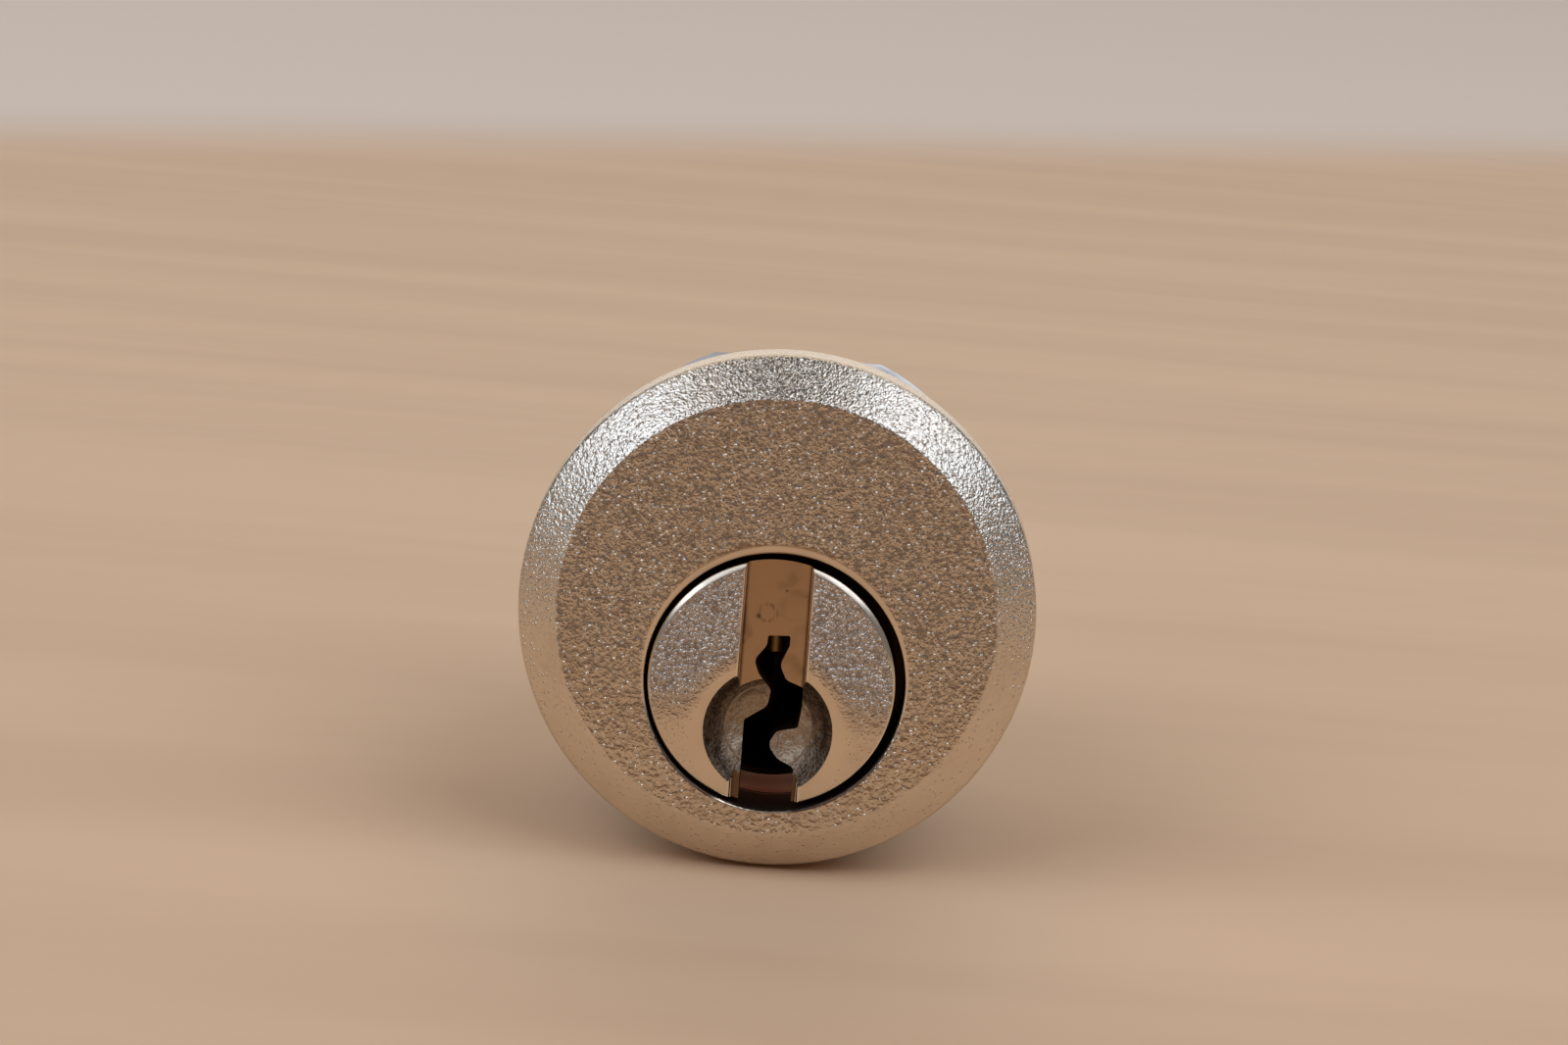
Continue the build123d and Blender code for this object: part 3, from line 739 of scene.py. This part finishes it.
slot_tool = bmesh.new()
stand = Matrix.Translation(Vector((0, slot_floor - past, plug_centre.y)) * mm)
bmesh.ops.create_cube(slot_tool, size=1, matrix=stand @ Matrix.Diagonal(
    Vector((2 * slot_half, 2 * past, 3 * flange_radius)) * mm).to_4x4())
widen = 1 + 2 * past * tan(slot_slope) / slot_half
bmesh.ops.scale(slot_tool, vec=(widen, 1, 1), verts=[v for v in slot_tool.verts if v.co.y < plug_face * mm])
machine(plug, slot_tool, slot_finish)

slot_top_half = slot_half + (slot_floor - plug_face) * tan(slot_slope)
lip_centre = slot_top_half + lip_rounding * tan((pi / 2 - slot_slope) / 2)
lip_front = plug_face - past / 2
crown_middle = Vector((0, plug_face + crown_radius, plug_centre.y))
half_sweep = asin(1.2 * flange_radius / crown_radius)
for side in (-1, 1):
    lip_tool = bmesh.new()
    arc = []
    for i in range(lip_steps + 1):
        angle = slot_slope + (pi / 2 - slot_slope) * i / lip_steps
        arc.append((lip_centre - lip_rounding * cos(angle), plug_face + lip_rounding * (1 - sin(angle))))
    inner = slot_half - lip_inward
    corners = [(inner, lip_front), (inner, arc[0][1]), *arc, (lip_centre, lip_front)]
    verts = [lip_tool.verts.new(Vector((side * x, place, plug_centre.y)) * mm) for x, place in corners]
    bmesh.ops.rotate(lip_tool, cent=crown_middle * mm, matrix=Matrix.Rotation(-half_sweep, 3, "X"),
                     verts=verts)
    section = lip_tool.faces.new(verts)
    bmesh.ops.spin(lip_tool, geom=[section, *section.edges, *section.verts], cent=crown_middle * mm,
                   axis=(1, 0, 0), angle=2 * half_sweep, steps=sweep_steps)
    machine(plug, lip_tool, plug_side)

cup_tool = bmesh.new()
cup_middle = Vector((0, plug_face + cup_depth - cup_sphere, cup_centre.y))
bmesh.ops.create_uvsphere(cup_tool, u_segments=cup_segments, v_segments=cup_segments // 2,
                          radius=cup_sphere * mm, matrix=Matrix.Translation(cup_middle * mm))
machine(plug, cup_tool, cup_finish)

cup_rim_tool = bmesh.new()
inward = crown_middle - cup_middle
cup_rim_away = (inward.length**2 + cup_sphere**2 - crown_radius**2) / (2 * inward.length)
cup_rim_radius = sqrt(cup_sphere**2 - cup_rim_away**2) + cup_rim_chamfer
stand = Matrix.Translation((cup_middle + inward.normalized() * cup_rim_away) * mm)
bmesh.ops.create_cone(cup_rim_tool, cap_ends=True, segments=cup_segments,
                      radius1=(cup_rim_radius + past) * mm, radius2=(cup_rim_radius - past) * mm,
                      depth=2 * past * mm,
                      matrix=stand @ inward.to_track_quat("Z", "Y").to_matrix().to_4x4())
machine(plug, cup_rim_tool, cup_finish)

# Each corner of the keyway: across and up from the plug's axis, and how it is rounded
keyway_tool = bmesh.new()
keyway_corners = [
    (-0.33, 2.28, 0.08), (-0.36, 1.78, 0.35), (-0.92, 1.02, 0.40), (-0.68, 0.38, 0.40), (0.02, -0.52, 0.45),
    (-0.12, -1.42, 0.50), (-1.22, -2.16, 0.15), (-1.20, -6.67, 0), (1.40, -6.67, 0), (1.40, -4.28, 0.20),
    (0.55, -3.95, 0.42), (0.06, -3.35, 0.42), (0.42, -2.66, 0.42), (1.46, -2.36, 0.20), (1.60, -1.20, 0.60),
    (1.56, -0.18, 0.12), (0.72, 0.12, 0.40), (0.36, 0.85, 0.50), (0.77, 1.85, 0.35), (0.76, 2.34, 0.10),
]
keyway_start = plug_face - past
verts = [keyway_tool.verts.new(Vector((x, keyway_start, plug_centre.y + z)) * mm)
         for x, z, _ in keyway_corners]
keyway_tool.faces.new(verts)
for i, (vert, (_, _, rounding)) in enumerate(zip(verts, keyway_corners)):
    if rounding:
        here, before, after = [Vector(keyway_corners[k][:2]) for k in (i, i - 1, (i + 1) % len(verts))]
        half_angle = (before - here).angle(after - here) / 2
        bmesh.ops.bevel(keyway_tool, geom=[vert], offset=rounding / tan(half_angle) * mm,
                        offset_type="OFFSET", segments=8, profile=0.5, affect="VERTICES", material=-1)
pulled = bmesh.ops.extrude_face_region(keyway_tool, geom=keyway_tool.faces[:])["geom"]
end = [part for part in pulled if isinstance(part, bmesh.types.BMVert)]
bmesh.ops.translate(keyway_tool, vec=(0, (keyway_end - keyway_start) * mm, 0), verts=end)
machine(plug, keyway_tool, bore_finish)

chamber_tool = bmesh.new()
chamber_profile = [(0, 0.10), (0.55, 0.15), (0.70, 0.31), (0.70, 1.20), (chamber_radius, 1.95),
                   (chamber_radius, plug_radius + past), (0, plug_radius + past)]
for place in pin_places:
    verts = [chamber_tool.verts.new(Vector((radius, place, plug_centre.y + height)) * mm)
             for radius, height in chamber_profile]
    edges = [chamber_tool.edges.new(pair) for pair in zip(verts, verts[1:])]
    bmesh.ops.spin(chamber_tool, geom=verts + edges, cent=Vector((0, place, 0)) * mm, axis=(0, 0, 1),
                   angle=2 * pi, steps=chamber_segments, use_merge=True)
bmesh.ops.remove_doubles(chamber_tool, verts=chamber_tool.verts, dist=tolerance * mm)
machine(plug, chamber_tool, bore_finish)
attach(plug, "plug")
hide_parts("plug")


# Key pins: turned from brass rod, one to each chamber of the plug. Each ends in a narrower nose with a
# flat tip, which is what a key lifts. The first one shows in the keyway.
pin_brass_colour = (0.80, 0.54, 0.20, 1)
pin_tips = [0.1, 0.8, 0.45, 1.15]
pin_top = 5.10
pin_radius = 1.45
pin_top_radius = 1.2
pin_top_chamfer = 0.25
pin_nose = [(0.50, 0.20), (0.64, 0.34), (0.64, 1.25), (pin_radius, 2.0)]
pin_brass = worked_metal("turned_brass_pins", pin_brass_colour, roughness=0.38, line_width=0.05,
                         stretch=(0.04, 0.04, 1))
for i, (place, tip) in enumerate(zip(pin_places, pin_tips), 1):
    pin_mesh = bmesh.new()
    profile = [(radius, tip + height) for radius, height in pin_nose]
    profile += [(pin_radius, pin_top - pin_top_chamfer), (pin_top_radius, pin_top)]
    verts = [pin_mesh.verts.new(Vector((radius, place, plug_centre.y + height)) * mm)
             for radius, height in [(0, profile[0][1]), *profile, (0, pin_top)]]
    edges = [pin_mesh.edges.new(pair) for pair in zip(verts, verts[1:])]
    bmesh.ops.spin(pin_mesh, geom=verts + edges, cent=Vector((0, place, 0)) * mm, axis=(0, 0, 1),
                   angle=2 * pi, steps=chamber_segments, use_merge=True)
    bmesh.ops.remove_doubles(pin_mesh, verts=pin_mesh.verts, dist=tolerance * mm)
    key_pin = make_piece(pin_mesh, f"turned_key_pin_{i}")
    key_pin.data.materials.append(pin_brass)
    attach(key_pin, f"key_pin_{i}")
    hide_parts(f"key_pin_{i}")


# Driver pins and springs: plain turned brass pins above the key pins, with a coil spring of drawn steel
# wire above each
spring_colour = (0.42, 0.42, 0.43, 1)
wire_finish = worked_metal("drawn_wire", spring_colour, roughness=0.24, line_width=0.03,
                           stretch=(0.2, 0.2, 1))
for i in range(1, len(pin_places) + 1):
    dress(pin_brass, f"driver_pin_{i}")
    dress(wire_finish, f"pin_spring_{i}")


# Clip and cam: a stamped spring steel clip holds the plug back, and zinc plated steel does the rest: the
# stop washer, the cam on the square tail, and the split washer and screw that hold it there.
clip_colour = (0.30, 0.295, 0.29, 1)
zinc_colour = (0.62, 0.64, 0.66, 1)
clip_finish = worked_metal("blued_spring_steel", clip_colour, roughness=0.28, line_width=0.05,
                           stretch=(1, 1, 0.05))
zinc_finish = worked_metal("zinc_plate", zinc_colour, roughness=0.27, line_width=0.07,
                           stretch=(1, 1, 0.06), line_depth=0.003, stain=0.82)
screw_finish = worked_metal("zinc_plated_screw", zinc_colour, roughness=0.22, line_width=0.06,
                            stretch=turned_round, line_depth=0.003, stain=0.8)
dress(clip_finish, "plug_clip")
dress(zinc_finish, "stop_washer", "cam", "cam_washer")
dress(screw_finish, "cam_screw")


# Table: pale wood, soft and out of the way. It is tilted under the lock, which leans back on its rim
# and on the end of its barrel, and runs level behind it.
table_colour = (0.79, 0.535, 0.34, 1)
table_grain_colour = (0.73, 0.485, 0.305, 1)
far_colour = (0.82, 0.70, 0.595, 1)
far_slant = (-0.66, 1, 0)
far_from = 0.29
far_to = 0.35
table_half_width = 0.7
levels_from = 20
level_behind = 60
places = [-460, levels_from, 28, 36, 44, 52, level_behind, 700]
rest_drop = head_radius - barrel_radius
rest_length = barrel_length - barrel_end_chamfer + head_back_chamfer
rest_slope = asin(rest_drop / sqrt(rest_drop**2 + rest_length**2))


def table_height(place):
    """The table's height below a place: a steady rise up to 20 mm behind the head, which then levels off."""
    levelling = max(0, min(place, level_behind) - levels_from)
    rise = min(place, levels_from) + levelling * (1 - levelling / (2 * (level_behind - levels_from)))
    return -head_radius + (rise + head_back_chamfer) * tan(rest_slope)


table_mesh = bmesh.new()
front = [table_mesh.verts.new((side * table_half_width, places[0] * mm, table_height(places[0]) * mm))
         for side in (-1, 1)]
edges = [table_mesh.edges.new(front)]
for place, next_place in zip(places, places[1:]):
    pulled = bmesh.ops.extrude_edge_only(table_mesh, edges=edges)["geom"]
    verts = [part for part in pulled if isinstance(part, bmesh.types.BMVert)]
    edges = [part for part in pulled if isinstance(part, bmesh.types.BMEdge)]
    step = Vector((0, next_place - place, table_height(next_place) - table_height(place)))
    bmesh.ops.translate(table_mesh, vec=step * mm, verts=verts)
table = make_piece(table_mesh, "table", smooth_angle=180)
finish, tree, shader, where = new_finish("pale_wood")
back = put(tree, "VectorMath", {0: where, 1: far_slant}, output="Value", operation="DOT_PRODUCT")
along = put(tree, "Mapping", {"Vector": where, "Scale": (0.10, 1, 1)})
grain = put(tree, "TexNoise", {"Vector": along, "Scale": 70.0, "Detail": 6.0})
wood = blend(tree, spread(tree, grain, 0.3, 0.7), table_colour, table_grain_colour)
far = spread(tree, back, far_from, far_to)
tree.links.new(blend(tree, far, wood, far_colour), shader.inputs["Base Color"])
shader.inputs["Roughness"].default_value = 0.6
shader.inputs["Specular IOR Level"].default_value = 0.2
table.data.materials.append(finish)


# Light: two large soft lamps stand high to the left and right of the lock. The room is pale behind it
# and dim at the sides, above and in front, so that the plate has something dark to mirror.
lamp_away = 1.6
lamp_width = 1.55
lamp_height = 1.12
lamp_turn = radians(59)
lamp_rises = radians(38), radians(47)
lamp_glow = 1.86
lamp_colour = (0.83, 0.93, 1.10)
side_colour = (0.15, 0.155, 0.165, 1)
low_side_colour = (0.50, 0.39, 0.30, 1)
back_colour = (1.00, 0.89, 0.78, 1)
top_colour = (0.08, 0.085, 0.095, 1)
front_low_colour = (0.18, 0.105, 0.066, 1)
front_high_colour = (0.17, 0.14, 0.12, 1)
for side, lamp_rise in zip((-1, 1), lamp_rises):
    light = bpy.data.lights.new("soft_lamp", "AREA")
    light.shape = "RECTANGLE"
    light.size = lamp_width
    light.size_y = lamp_height
    light.energy = lamp_glow * pi * lamp_width * lamp_height
    light.color = lamp_colour
    lamp = bpy.data.objects.new("soft_lamp", light)
    level = cos(lamp_rise)
    away = Vector((side * level * sin(lamp_turn), -level * cos(lamp_turn), sin(lamp_rise)))
    lamp.location = away * lamp_away
    lamp.rotation_euler = away.to_track_quat("Z", "Y").to_euler()
    bpy.context.collection.objects.link(lamp)

room = bpy.data.worlds.new("room")
bpy.context.scene.world = room
room.use_nodes = True
tree = room.node_tree
toward = tree.nodes.new("ShaderNodeTexCoord").outputs["Generated"]
right, back, up = [put(tree, "SeparateXYZ", {0: toward}, output=axis) for axis in "XYZ"]
sideways = spread(tree, reckon(tree, "ABSOLUTE", right), 0.30, 0.62)
in_front = spread(tree, back, -0.18, 0.12, 1.0, 0.0)
front = blend(tree, spread(tree, up, 0.05, 0.65), front_low_colour, front_high_colour)
colour = blend(tree, in_front, back_colour, front)
side = blend(tree, spread(tree, up, -0.02, 0.14), low_side_colour, side_colour)
colour = blend(tree, sideways, colour, side)
colour = blend(tree, spread(tree, up, 0.90, 0.97), colour, top_colour)
tree.links.new(colour, tree.nodes["Background"].inputs["Color"])


# Camera: a long lens 30 cm in front of the face and a little above it, aimed above the middle of the
# head. It is rolled a little, which shows the lock turned on its rim as in the photo.
camera_away = 0.300
camera_target = Vector((0.0, -2.0, 4.42))
camera_roll = radians(4.4)
rise, aside = radians(9.2), radians(1.0)
camera_data = bpy.data.cameras.new("camera")
camera_data.sensor_width = 36
camera_data.lens = 140.4
camera_data.clip_start = 0.01
camera = bpy.data.objects.new("camera", camera_data)
bpy.context.collection.objects.link(camera)
turn_x = aside * cos(camera_roll) - rise * sin(camera_roll)
turn_z = rise * cos(camera_roll) + aside * sin(camera_roll)
away = Vector((sin(turn_x) * cos(turn_z), -cos(turn_x) * cos(turn_z), sin(turn_z)))
camera.location = camera_target * mm + away * camera_away
image_up = Vector((-sin(camera_roll), 0, cos(camera_roll)))
image_up = (image_up - image_up.dot(away) * away).normalized()
image_right = image_up.cross(away)
camera.rotation_euler = Matrix((image_right, image_up, away)).transposed().to_euler()
bpy.context.scene.camera = camera
bpy.context.scene.view_settings.view_transform = "Standard"
